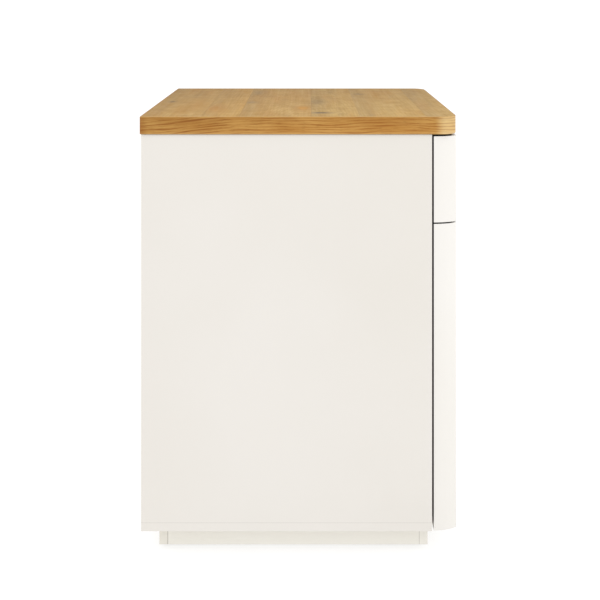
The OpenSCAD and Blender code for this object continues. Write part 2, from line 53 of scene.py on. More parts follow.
MM = 0.001
TOP_LOW, TOP_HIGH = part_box("top_edge_band")
CORE_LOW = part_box("top_panel")[0]
SIDE_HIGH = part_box("side_panel_left")[1]
GAP_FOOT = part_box("bottom_panel")[1].z
FRONT_LOW, FRONT_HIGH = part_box("upper_front")
FRONT_DEPTH = FRONT_HIGH.y - FRONT_LOW.y
PLINTH_LOW, PLINTH_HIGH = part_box("plinth_left")
DEPTH = TOP_HIGH.y - TOP_LOW.y
WIDTH = TOP_HIGH.x - TOP_LOW.x
X, Y, Z = 0, 1, 2


# ------------------------------------------------------------------ shader building blocks

def srgb(red, green, blue):
    """An sRGB colour of 0 to 255 as the linear RGBA that shaders take."""
    def linear(value):
        value /= 255
        return value / 12.92 if value <= 0.04045 else ((value + 0.055) / 1.055) ** 2.4
    return (linear(red), linear(green), linear(blue), 1.0)


class Graph:
    """A material's node tree, built by short calls that return output sockets."""

    def __init__(self, name):
        self.material = bpy.data.materials.new(name)
        self.material.use_nodes = True
        self.tree = self.material.node_tree
        self.tree.nodes.clear()

    def node(self, kind, sockets, **settings):
        made = self.tree.nodes.new(kind)
        for name, value in settings.items():
            setattr(made, name, value)
        for key, value in sockets.items():
            if isinstance(value, bpy.types.NodeSocket):
                self.tree.links.new(value, made.inputs[key])
            else:
                made.inputs[key].default_value = value
        return made

    def math(self, operation, a, b=0.0, c=0.0, clamp=False):
        made = self.node("ShaderNodeMath", {0: a, 1: b, 2: c}, operation=operation, use_clamp=clamp)
        return made.outputs[0]

    def normal(self, kind="Normal"):
        """The surface's normal, split into x, y and z."""
        return self.split(self.node("ShaderNodeNewGeometry", {}).outputs[kind])

    def coordinates(self, kind="Object"):
        return self.node("ShaderNodeTexCoord", {}).outputs[kind]

    def split(self, vector):
        return self.node("ShaderNodeSeparateXYZ", {0: vector}).outputs

    def join(self, x, y, z):
        return self.node("ShaderNodeCombineXYZ", {0: x, 1: y, 2: z}).outputs[0]

    def stretch(self, vector, x, y, z):
        scale = (x, y, z)
        return self.node("ShaderNodeVectorMath", {0: vector, 1: scale}, operation="MULTIPLY").outputs[0]

    def noise(self, vector, scale=1.0, detail=3.0, roughness=0.5, distortion=0.0, seed=0.0):
        return self.node(
            "ShaderNodeTexNoise",
            {"Vector": vector, "W": seed, "Scale": scale, "Detail": detail,
             "Roughness": roughness, "Distortion": distortion},
            noise_dimensions="4D",
        ).outputs["Fac"]

    def draw(self, number, kind="Value"):
        """The same random value, or colour, wherever the number is the same."""
        return self.node("ShaderNodeTexWhiteNoise", {"W": number}, noise_dimensions="1D").outputs[kind]

    def remap(self, value, low, high, to_low=0.0, to_high=1.0, smooth=False):
        kind = "SMOOTHSTEP" if smooth else "LINEAR"
        return self.node(
            "ShaderNodeMapRange",
            {"Value": value, "From Min": low, "From Max": high, "To Min": to_low, "To Max": to_high},
            interpolation_type=kind, clamp=True,
        ).outputs[0]

    def mix(self, amount, a, b, blend="MIX"):
        made = self.node("ShaderNodeMix", {0: amount, 6: a, 7: b}, data_type="RGBA", blend_type=blend)
        return made.outputs[2]

    def ramp(self, value, stops, interpolation="LINEAR"):
        made = self.node("ShaderNodeValToRGB", {0: value})
        ramp = made.color_ramp
        ramp.interpolation = interpolation
        while len(ramp.elements) < len(stops):
            ramp.elements.new(0.5)
        for element, (place, colour) in zip(ramp.elements, stops):
            element.position = place
            element.color = colour
        return made.outputs[0]

    def sky(self, reach):
        """How much of the open a point sees within reach: about 0 deep in a gap, 1 on an open face."""
        return self.node("ShaderNodeAmbientOcclusion", {"Distance": reach}, samples=8).outputs["AO"]

    def scale(self, colour, factor):
        return self.mix(1.0, colour, self.join(factor, factor, factor), "MULTIPLY")

    def bump(self, height, distance, strength=1.0, below=None):
        sockets = {"Height": height, "Distance": distance, "Strength": strength}
        if below is not None:
            sockets["Normal"] = below
        return self.node("ShaderNodeBump", sockets).outputs[0]

    def finish(self, colour, roughness, normal=None, one_sided=False, **extra):
        """Ends the tree with a principled surface, clear from behind if one-sided."""
        sockets = {"Base Color": colour, "Roughness": roughness}
        sockets.update({name.replace("_", " "): value for name, value in extra.items()})
        if normal is not None:
            sockets["Normal"] = normal
        surface = self.node("ShaderNodeBsdfPrincipled", sockets).outputs[0]
        if one_sided:
            behind = self.node("ShaderNodeNewGeometry", {}).outputs["Backfacing"]
            clear = self.node("ShaderNodeBsdfTransparent", {}).outputs[0]
            surface = self.node("ShaderNodeMixShader", {0: behind, 1: surface, 2: clear}).outputs[0]
        self.node("ShaderNodeOutputMaterial", {0: surface})
        return self.material


# ------------------------------------------------------------------ oak

# Where the planks of the top meet, as a share of its depth from the rear edge, and each plank's own tint
PLANK_SEAMS = (0.193, 0.311, 0.540, 0.693, 0.902)
PLANK_TINTS = (
    (0.96, 0.945, 0.955), (1.03, 1.00, 0.935), (0.995, 0.98, 0.975),
    (1.01, 1.03, 1.02), (1.01, 1.03, 1.03), (1.01, 1.04, 1.09),
)
# Painted light and shade over the whole top: its multiplier at the left edge, and the darker, browner one at
# the right edge
NEAR_PAINTED_LIGHT = (1.005, 0.985, 0.96, 1.0)
FAR_PAINTED_SHADE = (0.745, 0.70, 0.62, 1.0)
RING_SPACING = 4.6 * MM
# Width of the glue line between planks, as a share of the top's depth
SEAM_SHARE = 0.0012
# How strong a mark's halo is beside its core
HALO_SHARE = 0.55

OAK_LIGHT = srgb(190, 157, 95)
OAK_BODY = srgb(172, 137, 74)
OAK_DARK = srgb(137, 103, 52)
OAK_PORE = srgb(100, 70, 34)
OAK_GREY = srgb(128, 110, 82)
OAK_ORANGE = srgb(174, 122, 42)
KNOT_GREY = srgb(74, 66, 54)
KNOT_ORANGE = srgb(190, 134, 38)


def mark(plank, across, along, half_length, half_width, core, halo, strength):
    """A knot or stain. Across is the share of the depth from the rear, along of the width from the left."""
    return {
        "plank": plank, "x": TOP_LOW.x + along * WIDTH, "y": TOP_HIGH.y - across * DEPTH,
        "half_length": half_length, "half_width": half_width,
        "core": core, "halo": halo, "strength": strength,
    }


MARKS = (
    mark(0, 0.046, 0.465, 10 * MM, 5 * MM, KNOT_GREY, OAK_GREY, 0.45),
    mark(3, 0.573, 0.11, 7 * MM, 12 * MM, KNOT_GREY, OAK_GREY, 0.80),
    mark(3, 0.566, 0.47, 36 * MM, 11 * MM, OAK_GREY, OAK_GREY, 0.30),
    mark(2, 0.513, 0.25, 22 * MM, 9 * MM, KNOT_ORANGE, OAK_ORANGE, 0.62),
    mark(1, 0.215, 0.24, 30 * MM, 9 * MM, OAK_ORANGE, OAK_ORANGE, 0.55),
    mark(2, 0.330, 0.44, 12 * MM, 7 * MM, OAK_GREY, OAK_GREY, 0.40),
    mark(2, 0.336, 0.80, 30 * MM, 9 * MM, OAK_GREY, OAK_GREY, 0.30),
    mark(4, 0.722, 0.75, 12 * MM, 7 * MM, OAK_GREY, OAK_GREY, 0.40),
)


def square(g, value):
    return g.math("MULTIPLY", value, value)


def about_middle(g, noise, amount):
    """Noise of 0 to 1 as a swing of half the amount to either side of nothing."""
    return g.math("MULTIPLY", g.math("SUBTRACT", noise, 0.5), amount)


def plank_at(g, from_rear):
    """A point's plank, counted from the rear, and how far past that plank's rear seam it lies."""
    plank, in_plank = 0.0, from_rear
    for seam in PLANK_SEAMS:
        beyond = g.math("GREATER_THAN", from_rear, seam)
        past_seam = g.math("SUBTRACT", from_rear, seam)
        plank = g.math("ADD", beyond, plank)
        in_plank = g.math("MINIMUM", in_plank, g.math("ADD", past_seam, g.math("SUBTRACT", 1.0, beyond)))
    return plank, in_plank


def spread_grain(g, place, plank):
    """The y that the grain follows as it parts round the marks of its plank, and each mark's own field."""
    x, y, _ = g.split(place)
    grain_y = y
    wobble = g.noise(g.stretch(place, 60, 150, 150), 1.0, 3.0, 0.6, seed=4.0)
    fields = []
    for spot in MARKS:
        off_x, off_y = g.math("SUBTRACT", x, spot["x"]), g.math("SUBTRACT", y, spot["y"])
        far = g.math("ADD", square(g, g.math("DIVIDE", off_x, spot["half_length"])),
                     square(g, g.math("DIVIDE", off_y, spot["half_width"])))
        same = g.math("COMPARE", plank, float(spot["plank"]), 0.5)
        pull = g.math("MULTIPLY", g.math("EXPONENT", g.math("MULTIPLY", far, -0.35)), same)
        grain_y = g.math("SUBTRACT", grain_y, g.math("MULTIPLY", off_y, g.math("MULTIPLY", pull, 0.75)))
        far = g.math("ADD", g.math("SQRT", far), about_middle(g, wobble, 1.1))
        fields.append((spot, far, same))
    return grain_y, fields


def late_wood(g, place, flow, plank, pick):
    """The dark part of each growth ring. Each plank is cut at its own distance from the pith."""
    x, grain_y, _ = g.split(flow)
    wander = g.noise(g.stretch(place, 2.2, 9, 9), 1.0, 2.0, seed=plank)
    slope = about_middle(g, pick[0], 0.05)
    across = g.math("ADD", grain_y, g.math("MULTIPLY", x, slope))
    across = g.math("ADD", across, about_middle(g, wander, 22 * MM))
    reach = g.math("SUBTRACT", across, g.math("MULTIPLY_ADD", pick[1], 0.5, -0.30))
    depth = g.math("MULTIPLY_ADD", x, g.math("MULTIPLY_ADD", pick[2], 0.16, 0.03), 55 * MM)
    ring = g.math("SQRT", g.math("ADD", square(g, reach), square(g, depth)))
    jitter = g.noise(g.stretch(place, 6, 60, 60), 1.0, 3.0, seed=plank)
    bunching = g.noise(g.stretch(flow, 1.2, 26, 26), 1.0, 2.0, 0.5, seed=g.math("ADD", plank, 2.3))
    ring = g.math("ADD", g.math("DIVIDE", ring, RING_SPACING), g.math("MULTIPLY", jitter, 0.9))
    ring = g.math("ADD", ring, g.math("MULTIPLY", bunching, 3.5))
    return g.remap(g.math("PINGPONG", ring, 0.5), 0.12, 0.48, smooth=True)


def paint_marks(g, colour, fields, fibre):
    """Each mark's soft halo and its core, which the fibres fray."""
    for spot, far, same in fields:
        halo = g.math("MULTIPLY", g.remap(far, 2.6, 0.6, smooth=True), same)
        core = g.math("MULTIPLY", g.remap(far, 1.25, 0.35, smooth=True), same)
        core = g.math("MULTIPLY", core, g.remap(fibre, 0.25, 0.65, 0.65, 1.0))
        colour = g.mix(g.math("MULTIPLY", halo, HALO_SHARE * spot["strength"]), colour, spot["halo"])
        colour = g.mix(g.math("MULTIPLY", core, spot["strength"]), colour, spot["core"])
    return colour


def seam_at(g, plank, in_plank):
    """1 on the hairline of glue between two planks, 0 away from it. The rear edge isn't a seam."""
    line = g.remap(in_plank, 0.0, SEAM_SHARE, 1.0, 0.0)
    return g.math("MULTIPLY", line, g.math("GREATER_THAN", plank, 0.5))


def tint_and_shade_planks(g, colour, x, from_rear, in_plank, seam_line):
    """Each plank's own tint, duller along its rear seam, and painted shade that makes the whole top darker
    towards the right.
    """
    steps = [(start, tint + (1,)) for start, tint in zip((0.0,) + PLANK_SEAMS, PLANK_TINTS)]
    colour = g.mix(1.0, colour, g.ramp(from_rear, steps, "CONSTANT"), "MULTIPLY")
    dull = g.remap(in_plank, 0.0, 0.10, 0.20, 0.0, smooth=True)
    colour = g.mix(dull, colour, OAK_GREY)
    colour = g.mix(g.math("MULTIPLY", seam_line, 0.4), colour, OAK_PORE)
    # painted shade: the whole top darker and browner towards the right
    across = g.remap(x, TOP_LOW.x, TOP_HIGH.x)
    return g.mix(1.0, colour, g.mix(across, NEAR_PAINTED_LIGHT, FAR_PAINTED_SHADE), "MULTIPLY")


def oak_body(g, place, flow, plank):
    """The wood between the rings: soft streaks along the grain over a mottled ground."""
    streak = g.noise(g.stretch(flow, 3.0, 75, 75), 1.0, 3.0, 0.55, seed=g.math("ADD", plank, 7.3))
    mottle = g.noise(g.stretch(place, 44, 50, 50), 1.0, 3.0, 0.55, 0.5, seed=g.math("ADD", plank, 1.7))
    tone = g.math("ADD", g.math("MULTIPLY", streak, 0.35), g.math("MULTIPLY", mottle, 0.65))
    return g.mix(g.remap(tone, 0.38, 0.62), OAK_BODY, OAK_LIGHT)


def oak_clouds(g, colour, place, flow, plank, pick):
    """Orange clouds and grey stains along the grain, and pale rays across it on some planks."""
    cloud = g.noise(g.stretch(flow, 5, 34, 34), 1.0, 3.0, 0.55, seed=g.math("ADD", plank, 3.1))
    stain = g.noise(g.stretch(flow, 7, 42, 42), 1.0, 4.0, 0.6, seed=g.math("ADD", plank, 5.9))
    rays = g.noise(g.stretch(place, 160, 42, 42), 1.0, 2.0, 0.5, 0.6, seed=plank)
    rays = g.math("MULTIPLY", g.remap(rays, 0.62, 0.70), g.remap(pick[0], 0.45, 0.6))
    colour = g.mix(g.remap(cloud, 0.45, 0.72, 0.0, 0.36), colour, OAK_ORANGE)
    colour = g.mix(g.remap(stain, 0.54, 0.76, 0.0, 0.26), colour, OAK_GREY)
    return g.mix(g.math("MULTIPLY", rays, 0.24), colour, OAK_LIGHT)


def oak_top():
    """Planks across the width, grain from side to side, with knots that the grain flows round."""
    g = Graph("oak_top")
    place = g.coordinates()
    x, y, z = g.split(place)
    from_rear = g.math("DIVIDE", g.math("SUBTRACT", TOP_HIGH.y, y), DEPTH)
    plank, in_plank = plank_at(g, from_rear)
    pick = g.split(g.draw(plank, "Color"))
    grain_y, fields = spread_grain(g, place, plank)
    flow = g.join(x, grain_y, z)
    late = late_wood(g, place, flow, plank, pick)

    fibre = g.noise(g.stretch(flow, 9, 420, 420), 1.0, 4.0, 0.6, seed=plank)
    pores = g.remap(g.noise(g.stretch(flow, 85, 1700, 1700), 1.0, 1.0, 0.5, seed=plank), 0.60, 0.72)
    pores = g.math("MULTIPLY", pores, g.remap(late, 0.0, 0.75, 1.0, 0.25))

    colour = oak_body(g, place, flow, plank)
    colour = g.mix(g.math("MULTIPLY", late, 0.18), colour, OAK_DARK)
    colour = g.mix(g.remap(fibre, 0.40, 0.72, 0.0, 0.21), colour, OAK_DARK)
    colour = oak_clouds(g, colour, place, flow, plank, pick)
    colour = g.mix(g.math("MULTIPLY", pores, 0.52), colour, OAK_PORE)
    colour = paint_marks(g, colour, fields, fibre)
    seam_line = seam_at(g, plank, in_plank)
    colour = tint_and_shade_planks(g, colour, x, from_rear, in_plank, seam_line)

    height = g.math("SUBTRACT", g.math("MULTIPLY", fibre, 0.25), pores)
    height = g.math("SUBTRACT", height, g.math("MULTIPLY", seam_line, 0.8))
    roughness = g.remap(fibre, 0.3, 0.7, 0.60, 0.72)
    return g.finish(colour, roughness, g.bump(height, 0.06 * MM, 0.7), Specular_IOR_Level=0.10)


BAND_LIGHT = srgb(187, 143, 76)
BAND_BODY = srgb(170, 122, 57)
BAND_DARK_AND_SHADE = srgb(136, 82, 29)
BAND_PORE = srgb(94, 55, 21)
# pale colour of the painted highlights on the left arrises and along the foot
BAND_HIGHLIGHT = srgb(206, 170, 112)
# Painted sheen where the band bends to the front, for the light it faces there: a veil of painted sheen, and
# a gain that pales it
BEND_PAINTED_SHEEN = (0.285, 0.255, 0.165, 1.0)
BEND_PAINTED_GAIN = (1.48, 1.98, 3.2, 1.0)
BEND_START, BEND_END = TOP_LOW.y + 33 * MM, TOP_LOW.y + 17 * MM
BAND_RING = 4.0 * MM
FOOT_HIGHLIGHT_HEIGHT = 4 * MM


def band_level(g, place):
    """The height that the band's grain follows: it leans and wanders as it goes."""
    x, y, z = g.split(place)
    along = g.math("ADD", y, x)
    wander = g.noise(g.stretch(place, 5, 5, 8), 1.0, 2.0, 0.5, seed=2.0)
    lean = g.math("MULTIPLY", along, g.remap(along, -0.4, 0.1, 0.030, 0.095))
    return g.math("ADD", g.math("ADD", z, lean), about_middle(g, wander, 20 * MM))


def band_wood(g, place, level, fibre, pores, grain):
    """The band's own wood: broken dark rings, fibres and pores over a clouded ground."""
    y = g.split(place)[Y]
    ring = g.math("DIVIDE", level, BAND_RING)
    ring = g.math("ADD", ring, g.math("MULTIPLY", grain(9, 120, 2.0, 6.0), 2.2))
    late = g.remap(g.math("PINGPONG", ring, 0.5), 0.20, 0.45, smooth=True)
    late = g.math("MULTIPLY", late, g.remap(grain(24, 300, 3.0, 4.0), 0.40, 0.58, 0.05, 1.0))
    cloud = g.noise(g.stretch(place, 14, 14, 60), 1.0, 2.0, 0.5, seed=5.0)
    colour = g.mix(g.remap(cloud, 0.35, 0.65), BAND_BODY, BAND_LIGHT)
    streaks = g.math("MULTIPLY", late, g.remap(y, TOP_LOW.y + 0.3 * DEPTH, TOP_HIGH.y, 0.82, 0.96))
    colour = g.mix(streaks, colour, BAND_DARK_AND_SHADE)
    colour = g.mix(g.remap(fibre, 0.38, 0.70, 0.0, 0.50), colour, BAND_DARK_AND_SHADE)
    return g.mix(g.math("MULTIPLY", pores, 0.55), colour, BAND_PORE)


def band_shading(g, colour, place):
    """Painted shade and light: darker to the rear and in a strip at the rear end, darker at the head and
    lighter towards the foot.
    """
    _, y, z = g.split(place)
    # painted shade: darker towards the rear
    colour = g.scale(colour, g.remap(y, TOP_HIGH.y, TOP_HIGH.y - 0.6 * DEPTH, 0.91, 1.03))
    # painted light and shade: darker at the head, lighter towards the foot
    colour = g.scale(colour, g.remap(z, TOP_HIGH.z, TOP_LOW.z, 0.94, 1.09))
    # painted highlight along the band's foot
    colour = g.mix(g.remap(z, TOP_LOW.z + FOOT_HIGHLIGHT_HEIGHT, TOP_LOW.z, 0.0, 0.30), colour, BAND_HIGHLIGHT)
    # painted shade in a strip at the rear end
    rear_end_shade = g.remap(y, TOP_HIGH.y - 13 * MM, TOP_HIGH.y - 2 * MM, 0.0, 0.45, smooth=True)
    return g.mix(rear_end_shade, colour, BAND_DARK_AND_SHADE)


def band_edges(g, colour, place):
    """Painted sheen pales the bend and the front, painted shade darkens the arrises and the faces turned to
    the rear, and a painted highlight pales the left arrises.
    """
    x, y, _ = g.split(place)
    facing = g.normal()
    upright = g.remap(g.math("ABSOLUTE", facing[Z]), 0.35, 0.08)
    # painted sheen: the bend and the front paled as if catching the front light
    painted_sheen_mask = g.remap(y, BEND_START, BEND_END, smooth=True)
    sheen_veiled = g.mix(1.0, colour, BEND_PAINTED_SHEEN, "SCREEN")
    pale = g.mix(0.6, sheen_veiled, g.mix(1.0, colour, BEND_PAINTED_GAIN, "MULTIPLY"))
    colour = g.mix(g.math("MULTIPLY", painted_sheen_mask, upright), colour, pale)
    # painted shade on the band's faces that turn to the rear
    rear_facing_shade = g.remap(facing[Y], 0.15, 0.80)
    colour = g.mix(g.math("MULTIPLY", rear_facing_shade, 0.35), colour, BAND_DARK_AND_SHADE)
    arris = g.math("SUBTRACT", 1.0, upright)
    # painted highlight on the arrises that face left, towards the light
    left_arris_highlight = g.math("MULTIPLY", arris, g.remap(facing[X], -0.15, -0.40))
    # painted shade on the arrises, lighter near the left end
    darkened = g.remap(x, TOP_LOW.x + 3 * MM, TOP_LOW.x + 20 * MM, 0.60, 0.90)
    colour = g.mix(g.math("MULTIPLY", arris, darkened), colour, BAND_DARK_AND_SHADE)
    return g.mix(g.math("MULTIPLY", left_arris_highlight, 0.85), colour, BAND_HIGHLIGHT)


def oak_edge():
    """The edge band: long grain that runs round the top, leans as it goes and has painted sheen where it
    bends.
    """
    g = Graph("oak_edge")
    place = g.coordinates()
    x, y, _ = g.split(place)
    level = band_level(g, place)

    def grain(lengthways, upright, detail, seed):
        spot = g.join(g.math("MULTIPLY", x, lengthways), g.math("MULTIPLY", y, lengthways),
                      g.math("MULTIPLY", level, upright))
        return g.noise(spot, 1.0, detail, 0.6, seed=seed)

    fibre = grain(30, 900, 3.0, 1.0)
    pores = g.remap(grain(90, 2300, 1.0, 9.0), 0.60, 0.72)
    colour = band_wood(g, place, level, fibre, pores, grain)
    colour = band_shading(g, colour, place)
    colour = band_edges(g, colour, place)
    height = g.math("SUBTRACT", g.math("MULTIPLY", fibre, 0.3), pores)
    roughness = g.remap(fibre, 0.3, 0.7, 0.50, 0.62)
    return g.finish(colour, roughness, g.bump(height, 0.05 * MM, 0.6), Specular_IOR_Level=0.15)


# ------------------------------------------------------------------ lacquer, plywood

# The narrow gaps round the fronts read as black through painted shade: lacquer is painted dark where it sees
# little sky within this reach. The bottom panel closes the gap behind the fronts from below, so under its
# top face it stays light.
GAP_REACH = 12 * MM
GAP_PAINTED_SHADE = srgb(10, 9, 8)
GAP_MOUTH = FRONT_LOW.y + 0.15 * FRONT_DEPTH
GAP_DEEP = FRONT_LOW.y + 0.40 * FRONT_DEPTH
# Butt joints between boards show as thin grey-brown lines, and tight corners get painted shade in the same
# grey-brown
JOINT_REACH = 1.4 * MM
JOINT_HALF = 0.8 * MM
JOINT_SHADE = srgb(96, 88, 76)
LACQUER_SHADE = (0.972, 0.968, 0.955, 1)


def joint_lines(g, tone, spot, joints):
    """Paints shade into tight corners, and a line at each joint: its axis, its place on that axis, its
    strength.
    """
    # painted shade in tight corners
    tone = g.mix(g.remap(g.sky(JOINT_REACH), 0.45, 0.95, 0.35, 0.0), tone, JOINT_SHADE)
    for axis, level, strength in joints:
        away = g.math("ABSOLUTE", g.math("SUBTRACT", spot[axis], level))
        tone = g.mix(g.remap(away, 0.0, JOINT_HALF, strength, 0.0, smooth=True), tone, JOINT_SHADE)
    return tone


def gap_shade(g, tone, spot):
    """Painted shade in the gaps: upright gaps are seen deep into, level ones only at their mouth, which
    opens to the front.
    """
    sky = g.sky(GAP_REACH)
    upright = g.math("ABSOLUTE", g.normal()[Y])
    threshold = g.remap(spot[Y], GAP_MOUTH, GAP_DEEP, 0.04, 0.90)
    shallow = g.math("SUBTRACT", 1.0, g.math("DIVIDE", sky, threshold))
    shallow = g.math("MULTIPLY", shallow, 1.5, clamp=True)
    deep = g.remap(sky, 0.40, 0.95, 1.0, 0.0)
    difference = g.math("SUBTRACT", deep, shallow)
    # painted shade, darkest where the gap is closed in
    closed = g.math("MULTIPLY_ADD", difference, g.remap(upright, 0.3, 0.7), shallow)
    above_foot = g.remap(spot[Z], GAP_FOOT - 2 * MM, GAP_FOOT + 2 * MM)
    return g.mix(g.math("MULTIPLY", closed, above_foot), tone, GAP_PAINTED_SHADE)


def lacquer(name, colour, roughness, seed, joints=()):
    """Sprayed satin lacquer: faint orange peel, a slow drift in tone and light rubbing where hands go."""
    g = Graph(name)
    place = g.coordinates()
    spot = g.split(place)
    drift = g.noise(place, 3.5, 2.0, 0.5, seed=seed)
    peel = g.noise(place, 420, 2.0, 0.55, seed=seed)
    grit = g.noise(place, 2600, 1.0, 0.5, seed=seed)
    rubbed = g.remap(g.noise(place, 11, 4.0, 0.62, 0.4, seed=seed + 4), 0.5, 0.72)
    shade = g.mix(1.0, colour, LACQUER_SHADE, "MULTIPLY")
    tone = g.mix(g.remap(drift, 0.35, 0.65), shade, colour)
    # painted shade in tight corners, and the joint lines
    tone = joint_lines(g, tone, spot, joints)
    # painted shade deep in the gaps round the fronts
    tone = gap_shade(g, tone, spot)
    gloss = g.math("MULTIPLY_ADD", rubbed, -0.05, roughness)
    gloss = g.math("MULTIPLY_ADD", g.math("SUBTRACT", peel, 0.5), 0.08, gloss)
    height = g.math("MULTIPLY_ADD", grit, 0.25, peel)
    return g.finish(tone, gloss, g.bump(height, 0.03 * MM, 0.5), Specular_IOR_Level=0.42)


BIRCH_LIGHT = srgb(232, 214, 178)
BIRCH_BODY = srgb(222, 200, 160)
BIRCH_DARK = srgb(210, 184, 142)
BIRCH_FIBRE = srgb(188, 156, 112)
BIRCH_FLECK = srgb(156, 120, 80)
PLY_LONG, PLY_END = srgb(226, 204, 164), srgb(168, 132, 90)
PLY_VARIED = srgb(196, 160, 112)
PLY_PITS = srgb(140, 104, 66)
PLY_GLUE = srgb(110, 76, 46)


def lengthened(scale, along, own):
    """Three noise scales that are alike, but for the axis that the grain follows."""
    scales = [scale, scale, scale]
    scales[along] = own
    return scales


def ply_edge(g, thin, layers, end):
    """The plies: light long grain and darker end grain in turn, each with its own tone, and glue lines."""
    through = g.math("MULTIPLY", g.split(g.coordinates("Generated"))[thin], layers)
    layer = g.math("FLOOR", through)
    ply = g.mix(g.math("MODULO", layer, 2.0), PLY_LONG, PLY_END)
    ply = g.mix(g.math("MULTIPLY", g.draw(layer), 0.25), ply, PLY_VARIED)
    ply = g.mix(g.remap(end, 0.4, 0.7, 0.0, 0.35), ply, PLY_PITS)
    glue = g.math("ABSOLUTE", g.math("SUBTRACT", g.math("FRACT", through), 0.5))
    return g.mix(g.remap(glue, 0.44, 0.49, 0.0, 0.6), ply, PLY_GLUE)


def plywood(name, thin, along, layers, seed):
    """Birch plywood: thin is the axis across the board, along the axis of its face grain."""
    g = Graph(name)
    place = g.coordinates()
    fibre = g.noise(g.stretch(place, *lengthened(150.0, along, 5.0)), 1.0, 4.0, 0.6, seed=seed)
    figure = g.noise(g.stretch(place, *lengthened(22.0, along, 4.0)), 1.0, 3.0, 0.5, 1.2, seed=seed)
    fleck = g.noise(g.stretch(place, *lengthened(900.0, along, 120.0)), 1.0, 1.0, seed=seed)
    face = g.ramp(figure, [(0.3, BIRCH_LIGHT), (0.5, BIRCH_BODY), (0.7, BIRCH_DARK)])
    face = g.mix(g.remap(fibre, 0.35, 0.75, 0.0, 0.4), face, BIRCH_FIBRE)
    face = g.mix(g.math("MULTIPLY", g.remap(fleck, 0.60, 0.75), 0.3), face, BIRCH_FLECK)

    end = g.noise(g.stretch(place, 700, 700, 700), 1.0, 2.0, 0.6, seed=seed)
    ply = ply_edge(g, thin, layers, end)
    on_edge = g.remap(g.math("ABSOLUTE", g.normal("True Normal")[thin]), 0.75, 0.55)
    colour = g.mix(on_edge, face, ply)
    height = g.mix(on_edge, fibre, end)
    roughness = g.remap(fibre, 0.3, 0.7, 0.42, 0.56)
    return g.finish(colour, roughness, g.bump(height, 0.05 * MM, 0.5), Specular_IOR_Level=0.35)


# ------------------------------------------------------------------ metals and plastics

# The cast of zinc runs from blue to yellow
ZINC_CAST = [(0.3, (0.96, 0.98, 1.02, 1)), (0.5, (1, 1, 1, 1)), (0.7, (1.04, 1.01, 0.94, 1))]
SCUFF_GREY = srgb(150, 149, 147)
DUST_GREY = srgb(150, 146, 140)
BEECH_LIGHT, BEECH_DARK = srgb(214, 176, 134), srgb(198, 156, 112)
BEECH_FLECK = srgb(150, 104, 66)


def plated_steel(name, colour, roughness, along, seed):
    """Zinc-plated steel: fine lines along an axis, or none if that is None, a faint cast, a few scuffs."""
    g = Graph(name)
    place = g.coordinates()
    fine = 1500.0
    scales = [fine, fine, fine] if along is None else lengthened(fine, along, 40.0)
    lines = g.noise(g.stretch(place, *scales), 1.0, 2.0, 0.6, seed=seed)
    cast = g.noise(place, 22, 2.0, 0.5, 0.8, seed=seed)
    scuff = g.remap(g.noise(place, 60, 4.0, 0.7, 1.5, seed=seed), 0.58, 0.70)
    tone = g.mix(1.0, colour, g.ramp(cast, ZINC_CAST), "MULTIPLY")
    tone = g.mix(g.math("MULTIPLY", scuff, 0.22), tone, SCUFF_GREY)
    gloss = g.math("MULTIPLY_ADD", lines, 0.16, roughness)
    gloss = g.math("MULTIPLY_ADD", scuff, 0.14, gloss)
    return g.finish(tone, gloss, g.bump(lines, 0.02 * MM, 0.5), Metallic=1.0)


def moulded_plastic(name, colour, roughness, seed, wear=0.0):
    """Injection-moulded plastic with a fine spark texture; wear adds dusty scuffs."""
    g = Graph(name)
    place = g.coordinates()
    grain = g.noise(place, 1900, 2.0, 0.6, seed=seed)
    flow = g.noise(place, 45, 2.0, 0.5, 1.0, seed=seed)
    dust = g.remap(g.noise(place, 240, 4.0, 0.7, seed=seed), 0.50, 0.72)
    pale = g.mix(0.5, colour, DUST_GREY)
    tone = g.mix(g.remap(flow, 0.35, 0.7, 0.0, 0.10), colour, pale)
    tone = g.mix(g.math("MULTIPLY", dust, wear), tone, pale)
    gloss = g.math("MULTIPLY_ADD", grain, 0.12, roughness)
    return g.finish(tone, gloss, g.bump(grain, 0.04 * MM, 0.6))


def beech():
    """Dowels: plain beech with its short dark flecks."""
    g = Graph("beech")
    place = g.coordinates()
    fleck = g.remap(g.noise(g.stretch(place, 300, 900, 300), 1.0, 1.0, seed=3.0), 0.58, 0.7)
    tone = g.noise(place, 90, 3.0, seed=3.0)
    colour = g.mix(g.remap(tone, 0.3, 0.7), BEECH_LIGHT, BEECH_DARK)
    colour = g.mix(g.math("MULTIPLY", fleck, 0.4), colour, BEECH_FLECK)
    return g.finish(colour, 0.6, g.bump(fleck, 0.05 * MM, 0.5))


# One white lacquer in lit and shaded copies: the fronts and the plinth painted lighter than the boards, the
# plinth's rear board darker, for how light falls on each
WHITE = srgb(218, 214, 208)
FRONT_WHITE_LIT = srgb(225, 222, 217)
PLINTH_WHITE_LIT = srgb(227, 224, 216)
PLINTH_REAR_WHITE_SHADED = srgb(220, 216, 206)
# the joint under the top is a joint line deepened by the painted shadow of the band's overhang
BOARD_JOINTS = [(Z, GAP_FOOT, 0.16), (Z, SIDE_HIGH.z, 0.90)]
PLINTH_JOINTS = [(Y, PLINTH_LOW.y, 0.40), (Y, PLINTH_HIGH.y, 0.62)]

